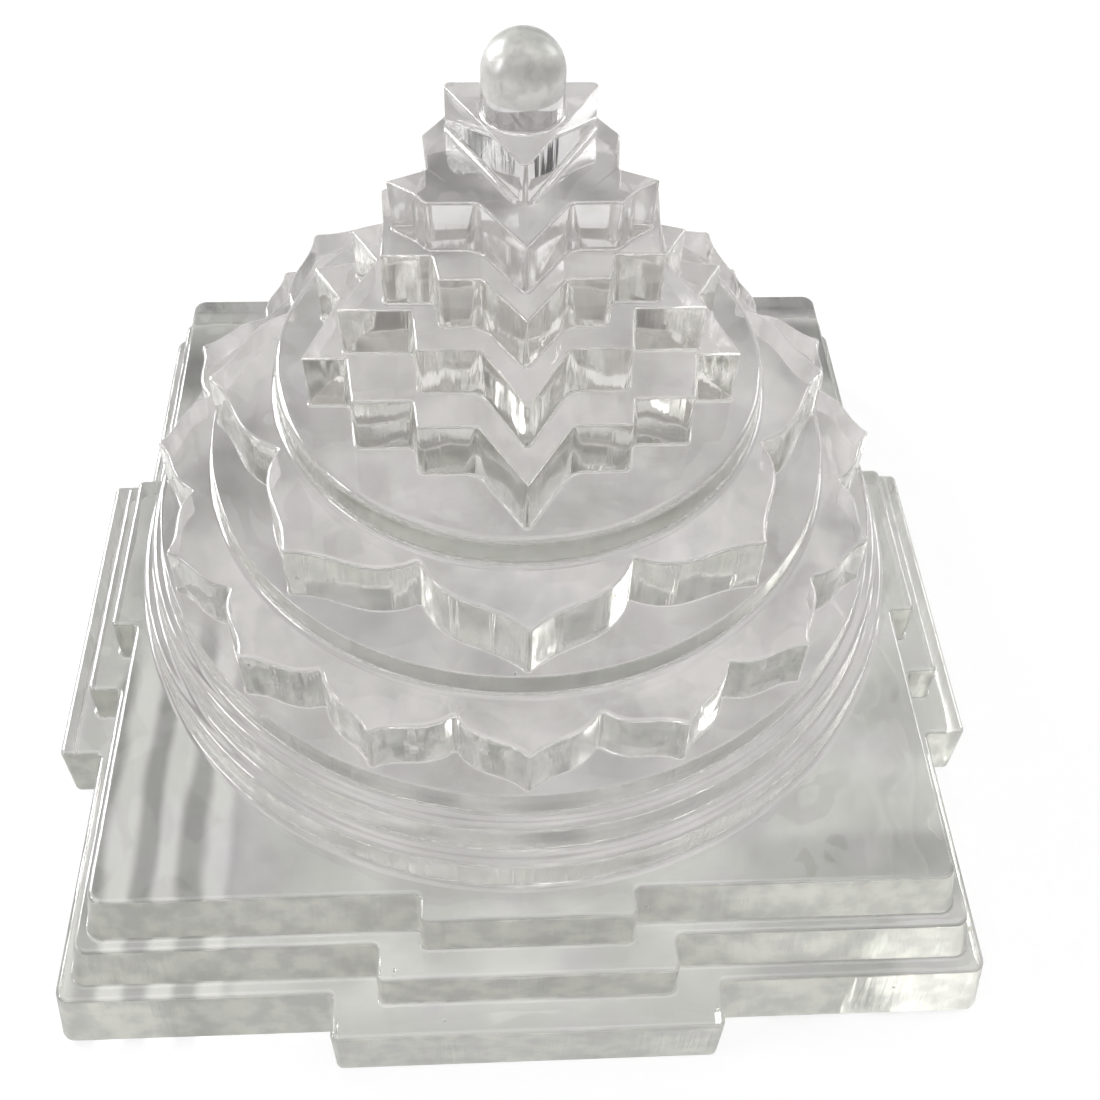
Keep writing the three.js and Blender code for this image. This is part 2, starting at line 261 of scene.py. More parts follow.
# How often light may be bent and mirrored on its way through the levels
BOUNCES = {
    "max_bounces": 32,
    "transmission_bounces": 32,
    "glossy_bounces": 16,
    "transparent_max_bounces": 64,
}

# Grey cards round the object: degrees to the right of the front and above the level, size in
# metres, and shade
CARD_AIM = Vector((0, 0, 0.03))
CARD_DISTANCE = 0.6
CARDS = (
    ("card_front", 15, 52, (0.09, 0.14), "#161618"),
    ("slat_far_left", 216, 48, (0.05, 0.32), "#6f6f72"),
    ("slat_left", 199, 46, (0.045, 0.3), "#7c7c80"),
    ("slat_middle", 183, 50, (0.05, 0.32), "#66666a"),
    ("slat_right", 166, 47, (0.04, 0.3), "#7c7c80"),
    ("slat_far_right", 150, 48, (0.04, 0.32), "#2c2c2e"),
    ("card_left", -75, 14, (0.5, 0.16), "#6a6a6d"),
    ("card_right", 80, 18, (0.5, 0.2), "#5e5e61"),
    ("card_back", 180, 12, (0.6, 0.16), "#6e6e71"),
)
# Dark strips just over the floor behind the object: middle in mm, degrees that they are turned,
# width and length in mm, and shade
STRIP_HEIGHT = 0.4
STRIPS = (
    ("strip_right", 53.3, 99.0, -30, 3.6, 20, "#120d0f"),
    ("strip_right_thin", 57.6, 96.0, -30, 1.2, 24, "#1a181b"),
    ("strip_left", -54.0, 96.0, 28, 4.5, 26, "#2a282c"),
)

# Where the camera stands, in mm, how it is turned, in radians, its lens and sensor, in mm, and
# the nearest and farthest that it sees, in metres
CAMERA_PLACE = (-4.3814, -104.552, 157.7689)
CAMERA_YAW = 0.0761
CAMERA_PITCH = 0.8345
CAMERA_ROLL = 0.0428
CAMERA_LENS = 45.555
CAMERA_SENSOR = 36
CAMERA_SHIFT = -0.109
CAMERA_REACH = (0.005, 20)


def linear(hex_colour):
    """Linear RGB of an sRGB hex colour."""
    channels = [int(hex_colour[i : i + 2], 16) / 255 for i in (1, 3, 5)]
    return [c / 12.92 if c <= 0.04045 else ((c + 0.055) / 1.055) ** 2.4 for c in channels]


def mirrored(half):
    """A closed plan, counter-clockwise, from the corners of its right half."""
    return list(half) + [(-x, y) for x, y in reversed(half[1:-1])]


def plate_plan(name, rise):
    """A square with a gate on each side. Its sides lean in a little as they rise."""
    half, gate, reach = PLATE_PLANS[name]
    half += PLATE_FLARE * (0.5 - rise)
    side = (
        (-half, -half, PLATE_CORNER),
        (-gate, -half, GATE_VALLEY),
        (-gate, -reach, GATE_CORNER),
        (gate, -reach, GATE_CORNER),
        (gate, -half, GATE_VALLEY),
    )
    corners = []
    for quarter in range(4):
        turn = Matrix.Rotation(quarter * math.pi / 2, 2)
        for x, y, soft in side:
            at = turn @ Vector((x, y))
            corners.append((at.x, at.y, soft))
    return corners


def lotus_plan(name):
    """A ring of petals, one of them to the front."""
    petals, valley, tip, steps = LOTUS_PLANS[name]
    half_angle = math.pi / petals
    handles = [(half_angle * turn, valley + (tip - valley) * along) for turn, along in PETAL_CURVE]
    half = []
    for step in range(steps + 1):
        t = step / steps
        weights = ((1 - t) ** 3, 3 * t * (1 - t) ** 2, 3 * t * t * (1 - t), t**3)
        half.append([sum(w * h[axis] for w, h in zip(weights, handles)) for axis in (0, 1)])
    corners = []
    for petal in range(petals):
        middle = petal * 2 * half_angle - math.pi / 2
        rising = [(middle - a, r, None) for a, r in half]
        rising[0] = (*rising[0][:2], PETAL_VALLEY)
        rising[-1] = (*rising[-1][:2], PETAL_TIP)
        falling = [(middle + a, r, None) for a, r in reversed(half[1:-1])]
        for angle, radius, soft in rising + falling:
            corners.append((radius * math.cos(angle), radius * math.sin(angle), soft))
    return corners


def star_plan(name):
    """A star, whose tips, notches and front valleys are softened differently."""
    reach = STAR_REACHES[name]
    outline = [Vector((x * reach, y * reach)) for x, y in mirrored(STAR_HALVES[name])]
    corners = []
    for i, at in enumerate(outline):
        before, after = outline[i - 1], outline[(i + 1) % len(outline)]
        soft = STAR_VALLEY if i in (1, len(outline) - 1) else STAR_NOTCH
        if (at - before).cross(after - at) > 0:
            soft = STAR_TIP
        corners.append((at.x, at.y, soft))
    return corners


def triangle_plan(grow):
    """The triangle, whose corners are rounder where it spreads out at its foot."""
    soft = TRIANGLE_TIP + TRIANGLE_SPREAD * max(grow, 0)
    corners = []
    for third in range(3):
        angle = third * 2 * math.pi / 3 - math.pi / 2
        corners.append((
            TRIANGLE_CORNER_RADIUS * math.cos(angle),
            TRIANGLE_CORNER_RADIUS * math.sin(angle) + PEAK_SETBACK,
            soft,
        ))
    return corners


def softened(corners, grow, ease, steps):
    """Points of a plan that is grown by a length on all sides, with its corners rounded. Ease is
    the share of the rounding that is left."""
    points = []
    count = len(corners)
    for i, (x, y, soft) in enumerate(corners):
        at = Vector((x, y))
        before = Vector(corners[i - 1][:2])
        after = Vector(corners[(i + 1) % count][:2])
        coming, going = (at - before).normalized(), (after - at).normalized()
        out_coming, out_going = Vector((coming.y, -coming.x)), Vector((going.y, -going.x))
        corner = at + (out_coming + out_going) * grow / (1 + out_coming.dot(out_going))
        if soft is None:
            points.append(corner)
            continue
        turn = math.atan2(coming.cross(going), coming.dot(going))
        half_turn = math.tan(abs(turn) / 2)
        room = ROOM * min((at - before).length, (after - at).length)
        reach = min(soft * ease, room) + math.copysign(grow * half_turn, grow * turn)
        reach = max(reach, LEAST_ROUND)
        radius = reach / half_turn
        outwards = out_coming * math.copysign(radius, turn)
        centre = corner - coming * reach - outwards
        for k in range(steps + 1):
            points.append(centre + Matrix.Rotation(turn * k / steps, 2) @ outwards)
    return points


def circle_points(radius, facets, centre_y=0.0):
    """Points round a circle, in mm."""
    angles = [2 * math.pi * k / facets for k in range(facets)]
    return [Vector((radius * math.cos(a), radius * math.sin(a) + centre_y)) for a in angles]


def plan_points(name, grow, ease=1.0, rise=0.0):
    """The closed outline of a level's plan, in mm, grown by a length. Rise is 0 at the foot and 1
    at the rim."""
    sizes = bpy.context.scene.yantra_sizes
    if name in DISC_RADII:
        return circle_points(DISC_RADII[name] + grow, sizes.ring_facets)
    if name == BINDU:
        return circle_points(BINDU_RADIUS + grow, sizes.bindu_facets, PEAK_SETBACK)
    if name in STAR_REACHES:
        return softened(star_plan(name), grow, ease, sizes.corner_steps)
    if name in PLATE_PLANS:
        corners = plate_plan(name, rise)
    elif name in LOTUS_PLANS:
        corners = lotus_plan(name)
    else:
        corners = triangle_plan(grow)
    return softened(corners, grow, 1.0, sizes.corner_steps)


def deselect_all():
    bpy.ops.object.select_all(action="DESELECT")


def edited():
    """The mesh that is being edited."""
    return bmesh.from_edit_mesh(bpy.context.active_object.data)


def keep_edits():
    bpy.ops.mesh.select_mode(type="VERT")
    bmesh.update_edit_mesh(bpy.context.active_object.data)


def place_selected(course, points, height):
    """Puts the selected loop's vertices on the points of an outline, at a height in metres, and
    gives them the number of their course."""
    work = edited()
    layers = work.verts.layers.int
    for vertex in work.verts:
        if vertex.select:
            x, y = points[vertex[layers["station"]]]
            vertex.co = (x * MM, y * MM, height)
            vertex[layers["course"]] = course
    keep_edits()


def number_selected():
    """Gives the selected vertices of a new circle their places along the outline."""
    work = edited()
    layers = work.verts.layers.int
    for key in ("station", "course"):
        if key not in layers:
            layers.new(key)
    for place, vertex in enumerate(v for v in work.verts if v.select):
        vertex[layers["station"]] = place
    keep_edits()


def start_outline(name, points, height):
    """A new object that holds one closed outline, left in edit mode as course 0."""
    deselect_all()
    bpy.ops.mesh.primitive_circle_add(vertices=len(points), radius=MM)
    made = bpy.context.active_object
    made.name = made.data.name = name
    bpy.ops.object.mode_set(mode="EDIT")
    bpy.ops.mesh.select_mode(type="VERT")
    bpy.ops.mesh.select_all(action="SELECT")
    number_selected()
    place_selected(0, points, height)
    return made


def add_outline(course, points, height):
    """Another closed outline in the mesh that is being edited."""
    bpy.ops.mesh.select_all(action="DESELECT")
    bpy.ops.mesh.primitive_circle_add(vertices=len(points), radius=MM)
    number_selected()
    place_selected(course, points, height)


def raise_outline(course, points, height):
    """Extrudes the selected outline to the next one."""
    bpy.ops.mesh.extrude_edges_move()
    place_selected(course, points, height)


def select_courses(*courses):
    """Selects the vertices and edges of whole courses."""
    bpy.ops.mesh.select_all(action="DESELECT")
    work = edited()
    number = work.verts.layers.int["course"]
    for vertex in work.verts:
        vertex.select = vertex[number] in courses
    work.select_flush(True)
    keep_edits()


def fill_course(course, joint):
    """Closes one course with a flat face, which gets the joint's material if levels join there."""
    select_courses(course)
    bpy.ops.mesh.edge_face_add()
    if joint:
        bpy.ops.mesh.mark_sharp()
        work = edited()
        number = work.verts.layers.int["course"]
        for face in work.faces:
            if all(v[number] == course for v in face.verts):
                face.material_index = JOINT_SLOT
        keep_edits()


def edge_radius(name, edge):
    """Radius in mm of a level's rim or of the cove at its foot."""
    return getattr(bpy.context.scene.yantra_sizes, f"{WORK[name][0]}_{edge}") / MM


def arc(steps):
    """Sine and cosine along a quarter turn, both ends included."""
    return [
        (math.sin(k / steps * math.pi / 2), math.cos(k / steps * math.pi / 2))
        for k in range(steps + 1)
    ]


def level_profile(name, low, high):
    """Growth in mm, height in metres, ease and rise of each outline that a level is raised
    through. The lowest level has a rim at its foot instead of a cove."""
    steps = bpy.context.scene.yantra_sizes.round_steps
    rim = edge_radius(name, "rim")
    foot, outwards = (rim, -1) if name == LEVELS[0] else (edge_radius(name, "cove"), 1)
    profile = [
        (outwards * foot * (1 - rise), low + foot * (1 - back) * MM, 1.0, 0.0)
        for rise, back in arc(steps)
    ]
    for rise, back in arc(steps):
        profile.append((-rim * (1 - back), high - rim * (1 - rise) * MM, RIM_EASE, 1.0))
    return profile


def finish_piece(made, node, materials):
    """Turns the faces outwards, keeps the flats flat under smooth shading and adds the piece."""
    bpy.ops.mesh.select_all(action="SELECT")
    bpy.ops.mesh.normals_make_consistent(inside=False)
    bpy.ops.object.mode_set(mode="OBJECT")
    for material in materials:
        made.data.materials.append(material)
    bpy.ops.object.shade_smooth()
    flats = made.modifiers.new("flats", "WEIGHTED_NORMAL")
    flats.mode = "FACE_AREA"
    flats.weight = 100
    flats.keep_sharp = True
    bpy.ops.object.modifier_apply(modifier=flats.name)
    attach(made, "root")
    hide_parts(node)


def build_level(name):
    """Raises one level of the stack from its foot outline and closes it. Its top has a face of its
    own where the level above it joins."""
    low, high = (corner.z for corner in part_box(name))
    profile = level_profile(name, low, high)
    grow, height, ease, rise = profile[0]
    made = start_outline(f"carved_{name}", plan_points(name, grow, ease, rise), height)
    for course, (grow, height, ease, rise) in enumerate(profile[1:], start=1):
        raise_outline(course, plan_points(name, grow, ease, rise), height)
    rim_course, joint_course = len(profile) - 1, len(profile)
    above = LEVELS[LEVELS.index(name) + 1]
    fill_course(0, joint=name != LEVELS[0])
    add_outline(joint_course, plan_points(above, edge_radius(above, "cove")), high)
    fill_course(joint_course, joint=True)
    select_courses(rim_course, joint_course)
    bpy.ops.mesh.fill(use_beauty=True)
    finish_piece(made, name, [polished_crystal(name), joint_inside()])


def add_node(tree, kind, inputs=(), **settings):
    """Adds a shader node with its settings and fills its inputs, which come by name or in their
    order. Each is a plain value, or a socket or node to link."""
    node = tree.nodes.new(kind)
    for key, value in settings.items():
        setattr(node, key, value)
    in_use = [socket for socket in node.inputs if socket.enabled]
    given = inputs.items() if isinstance(inputs, dict) else zip(in_use, inputs)
    for place, value in given:
        socket = node.inputs[place] if isinstance(place, str) else place
        if isinstance(value, bpy.types.Node):
            value = next(output for output in value.outputs if output.enabled)
        if isinstance(value, bpy.types.NodeSocket):
            tree.links.new(value, socket)
        else:
            socket.default_value = value
    return node


def colour(name):
    """A colour of the settings, as a node's input takes it."""
    return (*getattr(bpy.context.scene.yantra_looks, name), 1)


def start_material(name):
    """The empty node tree of a new material and the material, or None and the one made before."""
    known = bpy.data.materials.get(name)
    if known:
        return None, known
    material = bpy.data.materials.new(name)
    material.use_nodes = True
    material.node_tree.nodes.clear()
    return material.node_tree, material


def joint_inside():
    """Where two levels join there is no surface, because they are one block of crystal."""
    tree, material = start_material("joint_inside_the_block")
    if tree is None:
        return material
    clear = add_node(tree, "ShaderNodeBsdfTransparent")
    add_node(tree, "ShaderNodeOutputMaterial", (clear,))
    return material


def polished_crystal(name):
    """Rock crystal, ground to shape with wheels and polished by hand. It is clear with a faint
    tint. Its tops are smooth but wavy. Its walls keep upright grinding marks, and those of the
    plates were polished least, so they are cloudy."""
    polish = WORK[name][1]
    tree, material = start_material(f"rock_crystal_polished_{polish}")
    if tree is None:
        return material
    wall_rough, ripple_depth, mark_depth, fleck_share = POLISHES[polish]
    where = add_node(tree, "ShaderNodeTexCoord").outputs["Object"]
    wall = wall_share(tree)
    # Waves of hand polishing, which are weaker on the walls
    waves = add_node(
        tree,
        "ShaderNodeTexNoise",
        {"Vector": where, "Scale": 1 / (WAVE_SIZE * MM), "Detail": 1.0},
    )
    mostly_on_tops = add_node(
        tree, "ShaderNodeMath", (wall, WAVES_ON_WALLS - 1, 1.0), operation="MULTIPLY_ADD"
    )
    normal = add_node(
        tree,
        "ShaderNodeBump",
        {"Height": waves, "Strength": mostly_on_tops, "Distance": WAVE_DEPTH * MM},
    )
    # On the walls upright ripples, and upright marks of the grinding wheel, which are finer in
    # truth and drawn as coarse as they need to show
    mostly_on_walls = add_node(
        tree,
        "ShaderNodeMath",
        (wall, 1 - RIPPLES_ON_TOPS, RIPPLES_ON_TOPS),
        operation="MULTIPLY_ADD",
    )
    for (spacing, height_share, detail), depth, strength in (
        (RIPPLES, ripple_depth, mostly_on_walls),
        (GRINDING_MARKS, mark_depth, wall),
    ):
        upright = add_node(
            tree, "ShaderNodeMapping", {"Vector": where, "Scale": (1, 1, height_share)}
        )
        lines = add_node(
            tree,
            "ShaderNodeTexNoise",
            {"Vector": upright, "Scale": 1 / (spacing * MM), "Detail": detail},
        )
        normal = add_node(
            tree,
            "ShaderNodeBump",
            {"Height": lines, "Strength": strength, "Distance": depth * MM, "Normal": normal},
        )
    dents = chips(tree, where)
    normal = add_node(
        tree, "ShaderNodeBump", {"Height": dents, "Distance": CHIP_DEPTH * MM, "Normal": normal}
    )
    # Walls are cloudier than tops, and both vary in patches
    cloud = add_node(
        tree,
        "ShaderNodeTexNoise",
        {"Vector": where, "Scale": 1 / (CLOUD_SIZE * MM), "Detail": 4.0},
    )
    patchy = add_node(tree, "ShaderNodeMapRange", (cloud, *ROUGHNESS_BY_CLOUD), **SOFTLY)
    rough = add_node(tree, "ShaderNodeMath", (wall, wall_rough, patchy), operation="MULTIPLY_ADD")
    cloudy = add_node(tree, "ShaderNodeMapRange", (cloud, *TINT_BY_CLOUD), **SOFTLY)
    tops = add_node(
        tree,
        "ShaderNodeMix",
        (cloudy, colour(f"{polish}_tint"), colour("cloud_tint")),
        data_type="RGBA",
    )
    # Flecks and small flaws just under the walls
    flecks = add_node(
        tree,
        "ShaderNodeTexNoise",
        {"Vector": where, "Scale": 1 / (FLECK_SIZE * MM), "Detail": 3.0},
    )
    flecked = add_node(
        tree, "ShaderNodeMapRange", (flecks, *FLECKS_BETWEEN, 0.0, fleck_share), **SOFTLY
    )
    walls = add_node(
        tree,
        "ShaderNodeMix",
        (flecked, colour(f"{polish}_wall_tint"), colour("fleck_tint")),
        data_type="RGBA",
    )
    whole = add_node(tree, "ShaderNodeMix", (wall, tops, walls), data_type="RGBA")
    # The deepest of the chips are darker in their middle
    darker_middle = add_node(tree, "ShaderNodeMapRange", (dents, *DARKENING_BY_CHIP_DEPTH), **SOFTLY)
    tint = add_node(tree, "ShaderNodeMix", (darker_middle, whole, colour("chip_middle_tint")), data_type="RGBA")
    crystal = add_node(
        tree,
        "ShaderNodeBsdfPrincipled",
        {
            "Base Color": tint,
            "Roughness": rough,
            "Normal": normal,
            "IOR": QUARTZ_IOR,
            "Transmission Weight": 1.0,
        },
    )
    add_node(tree, "ShaderNodeOutputMaterial", (crystal,))
    return material


def chips(tree, where):
    """Small round dents, -1 at their deepest, in about every third cell that the crystal is parted
    into."""
    cells = add_node(
        tree, "ShaderNodeTexVoronoi", {"Vector": where, "Scale": 1 / (CHIP_CELL * MM)}
    )
    chance = add_node(tree, "ShaderNodeSeparateColor", (cells.outputs["Color"],))
    hollow = add_node(
        tree,
        "ShaderNodeMapRange",
        (cells.outputs["Distance"], 0.0, CHIP_RADIUS / CHIP_CELL, -1.0, 0.0),
        **SOFTLY,
    )
    chosen = add_node(
        tree, "ShaderNodeMapRange", (chance.outputs["Red"], *CHIP_BY_CHANCE), **SOFTLY
    )
    return add_node(tree, "ShaderNodeMath", (hollow, chosen), operation="MULTIPLY")


def wall_share(tree):
    """1 on upright faces and 0 on level ones."""
    normal = add_node(tree, "ShaderNodeNewGeometry").outputs["True Normal"]
    split = add_node(tree, "ShaderNodeSeparateXYZ", (normal,))
    level = add_node(tree, "ShaderNodeMath", (split.outputs["Z"],), operation="ABSOLUTE")
    return add_node(tree, "ShaderNodeMapRange", (level, *WALL_BY_LEVELNESS), **SOFTLY)


def ground_crystal():
    """The bindu's dome, finely ground and rubbed by hand but not polished. It is milky with darker
    veils, and its thin smooth skin gives small highlights."""
    tree, material = start_material("finely_ground_crystal")
    if tree is None:
        return material
    where = add_node(tree, "ShaderNodeTexCoord").outputs["Object"]
    veils = add_node(
        tree,
        "ShaderNodeTexNoise",
        {"Vector": where, "Scale": 1 / (VEIL_SIZE * MM), "Detail": 4.0},
    )
    grit = add_node(
        tree,
        "ShaderNodeTexNoise",
        {"Vector": where, "Scale": 1 / (GRIT_SIZE * MM), "Detail": 3.0},
    )
    veiled = add_node(tree, "ShaderNodeMapRange", (veils, *TINT_BY_VEIL), **SOFTLY)
    tint = add_node(
        tree,
        "ShaderNodeMix",
        (veiled, colour("ground_tint"), colour("ground_veil")),
        data_type="RGBA",
    )
    rough = add_node(tree, "ShaderNodeMapRange", (veils, *ROUGHNESS_BY_VEIL), **SOFTLY)
    normal = add_node(tree, "ShaderNodeBump", {"Height": grit, "Distance": GRIT_DEPTH * MM})
    crystal = add_node(
        tree,
        "ShaderNodeBsdfPrincipled",
        {
            "Base Color": tint,
            "Roughness": rough,
            "Normal": normal,
            "IOR": QUARTZ_IOR,
            "Transmission Weight": 0.8,
            "Coat Weight": 0.25,
            "Coat Roughness": 0.08,
        },
    )
    add_node(tree, "ShaderNodeOutputMaterial", (crystal,))
    return material


def rounding(name, description, radius):
    """A setting for a radius given in mm."""
    return FloatProperty(
        name=name,
        description=description,
        default=radius * MM,
        min=0.05 * MM,
        max=1.2 * MM,
        unit="LENGTH",
        precision=5,
    )


def colouring(name, description, hex_colour):
    """A setting for a colour given as sRGB hex."""
    return FloatVectorProperty(
        name=name,
        description=description,
        default=linear(hex_colour),
        subtype="COLOR",
        size=3,
        min=0,
        max=1,
    )


class YantraSizes(bpy.types.PropertyGroup):
    """Sizes that the carved levels are made to."""

    plate_rim: rounding("Plate rims", "Radius of the base plates' softened rims", 0.6)
    plate_cove: rounding("Plate coves", "Radius of the hollow at a base plate's foot", 0.45)
    ring_rim: rounding("Ring rims", "Radius of the round steps' softened rims", 0.75)
    ring_cove: rounding("Ring coves", "Radius of the hollow at a round step's foot", 0.7)
    petal_disc_rim: rounding("Petal disc rims", "Radius of the rims that the petals reach", 0.2)
    petal_disc_cove: rounding("Petal disc coves", "Radius of the hollow at a disc's foot", 0.7)
    lotus_rim: rounding("Petal rims", "Radius of the petals' softened rims", 0.42)
    lotus_cove: rounding("Petal coves", "Radius of the hollow at the petals' feet", 0.15)
    star_rim: rounding("Star rims", "Radius of the star tiers' softened rims", 0.27)
    star_cove: rounding("Star coves", "Radius of the hollow at a star tier's foot", 0.27)
    triangle_rim: rounding("Triangle rim", "Radius of the triangle's rim, close to the bindu", 0.12)
    triangle_cove: rounding("Triangle cove", "Radius of the hollow at the triangle's foot", 0.65)
    bindu_cove: rounding("Bindu cove", "Radius of the hollow at the bindu's foot", 0.37)
    round_steps: IntProperty(
        name="Round steps",
        description="Facets across a rounded rim or a cove",
        default=6,
        min=2,
        max=8,
    )
    corner_steps: IntProperty(
        name="Corner steps",
        description="Facets round a softened corner of a plan",
        default=6,
        min=2,
        max=12,
    )
    ring_facets: IntProperty(
        name="Ring facets",
        description="Facets round the discs",
        default=192,
        min=48,
        max=512,
    )
    bindu_facets: IntProperty(
        name="Bindu facets",
        description="Facets round the bindu",
        default=64,
        min=24,
        max=128,
    )


class YantraLooks(bpy.types.PropertyGroup):
    """Colours of the crystal and the stage."""

    plate_tint: colouring("Plate tint", "What a pass through a plate's top leaves", "#c7c7c2")
    plate_wall_tint: colouring("Plate wall tint", "The same on its upright faces", "#8e8e89")
    disc_tint: colouring("Disc tint", "What a pass through a disc's top leaves", "#cac6c5")
    disc_wall_tint: colouring("Disc wall tint", "The same on its upright face", "#c8c7c3")
    tier_tint: colouring("Tier tint", "What a pass through a tier's top leaves", "#e6e1e0")
    tier_wall_tint: colouring("Tier wall tint", "The same on its upright faces", "#ebe9e6")
    peak_tint: colouring("Peak tint", "What a pass through the topmost levels leaves", "#dad5d6")
    peak_wall_tint: colouring("Peak wall tint", "The same on their upright faces", "#d2d0d1")
    fleck_tint: colouring("Fleck tint", "The same in a wall's flecks, faintly green", "#b2b3a8")
    # Colour that the middle of the deepest chips is darkened towards
    chip_middle_tint: colouring("Chip middle tint", "The same in the darker middle of a deep chip", "#4a4845")
    cloud_tint: colouring("Cloud tint", "The same in cloudier patches, faintly violet", "#c3c0c3")
    ground_tint: colouring("Ground tint", "What a pass through the ground dome leaves", "#c1c1bb")
    ground_veil: colouring("Ground veil", "The same in the dome's darker veils", "#adaca8")
    floor_colour: colouring("Floor", "Colour of the plain floor", "#f4f4f4")


class LevelsOperator:
    """What the operators for the levels share."""

    bl_options = {"REGISTER", "UNDO"}
    levels = ()

    def execute(self, _context):
        for name in self.levels:
            build_level(name)
        return {"FINISHED"}


class YANTRA_OT_base_plates(LevelsOperator, bpy.types.Operator):
    """Three square plates, each with a gate in the middle of every side"""

    bl_idname = "yantra.base_plates"
    bl_label = "Base plates"
    levels = PLATES


class YANTRA_OT_ring_steps(LevelsOperator, bpy.types.Operator):
    """Two plain round steps"""

    bl_idname = "yantra.ring_steps"
    bl_label = "Ring steps"
    levels = RINGS


class YANTRA_OT_lotus_rings(LevelsOperator, bpy.types.Operator):
    """Two discs and the rings of sixteen and eight petals that stand on them"""

    bl_idname = "yantra.lotus_rings"
    bl_label = "Lotus rings"
    levels = LOTUSES


class YANTRA_OT_star_tiers(LevelsOperator, bpy.types.Operator):
    """The upper disc and the four star tiers on it"""

    bl_idname = "yantra.star_tiers"
    bl_label = "Star tiers"
    levels = STARS


class YANTRA_OT_triangle(LevelsOperator, bpy.types.Operator):
    """The triangle under the bindu"""

    bl_idname = "yantra.triangle"
    bl_label = "Triangle"
    levels = (PEAK,)


class YANTRA_OT_bindu(bpy.types.Operator):
    """The bindu: a ground dome on a clear neck"""

    bl_idname = "yantra.bindu"
    bl_label = "Bindu"
    bl_options = {"REGISTER", "UNDO"}

    def execute(self, context):
        sizes = context.scene.yantra_sizes
        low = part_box(BINDU)[0].z
        cove = edge_radius(BINDU, "cove")
        ground_foot = low + GROUND_FROM * MM
        dome_foot = low + BINDU_NECK * MM
        profile = [
            (cove * (1 - rise), low + cove * (1 - back) * MM)
            for rise, back in arc(sizes.round_steps)
        ]
        profile.append((0.0, ground_foot))
        for rise, back in arc(sizes.bindu_facets // 4)[:-1]:
            profile.append((BINDU_RADIUS * (back - 1), dome_foot + BINDU_RADIUS * rise * MM))
        grow, height = profile[0]
        made = start_outline("carved_bindu", plan_points(BINDU, grow), height)
        for course, (grow, height) in enumerate(profile[1:], start=1):
            raise_outline(course, plan_points(BINDU, grow), height)
        # The last outline shrinks to the dome's pole
        bpy.ops.mesh.extrude_edges_move()
        pole = dome_foot + BINDU_RADIUS * MM
        place_selected(len(profile), plan_points(BINDU, -BINDU_RADIUS), pole)
        bpy.ops.mesh.merge(type="CENTER")
        fill_course(0, joint=True)
        work = edited()
        for face in work.faces:
            if face.calc_center_median().z > ground_foot:
                face.material_index = GROUND_SLOT
        keep_edits()
        materials = [polished_crystal(BINDU), joint_inside(), ground_crystal()]
        finish_piece(made, BINDU, materials)
        return {"FINISHED"}


class YANTRA_OT_stage(bpy.types.Operator):
    """Pale floor, soft studio lights, white surroundings and the camera"""

    bl_idname = "yantra.stage"
    bl_label = "Stage"
    bl_options = {"REGISTER", "UNDO"}

    def execute(self, context):
        scene = context.scene
        add_floor()
        add_lights()
        add_cards()
        light_world(scene)
        add_camera(scene)
        scene.view_settings.view_transform = "Standard"
        for kind, most in BOUNCES.items():
            setattr(scene.cycles, kind, most)
        return {"FINISHED"}


def shows_background(tree):
    """1 for rays that show the surroundings: seen directly, mirrored or through the crystal."""
    rays = add_node(tree, "ShaderNodeLightPath").outputs
    direct = add_node(
        tree,
        "ShaderNodeMath",
        (rays["Is Camera Ray"], rays["Is Glossy Ray"]),
        operation="MAXIMUM",
    )
    return add_node(
        tree, "ShaderNodeMath", (direct, rays["Is Transmission Ray"]), operation="MAXIMUM"
    )


def in_mm(edges):
    """Two places given in mm, in metres."""
    return [edge * MM for edge in edges]


def painted_shade_spot(tree, where, x, y, inner, outer, depth):
    """A round painted shade on the floor, in mm, full within the inner radius and gone at the
    outer.
    """
    apart = add_node(
        tree, "ShaderNodeVectorMath", (where, (x * MM, y * MM, 0)), operation="DISTANCE"
    )
    return add_node(
        tree, "ShaderNodeMapRange", (apart, inner * MM, outer * MM, -depth, 0.0), **SOFTLY
    )


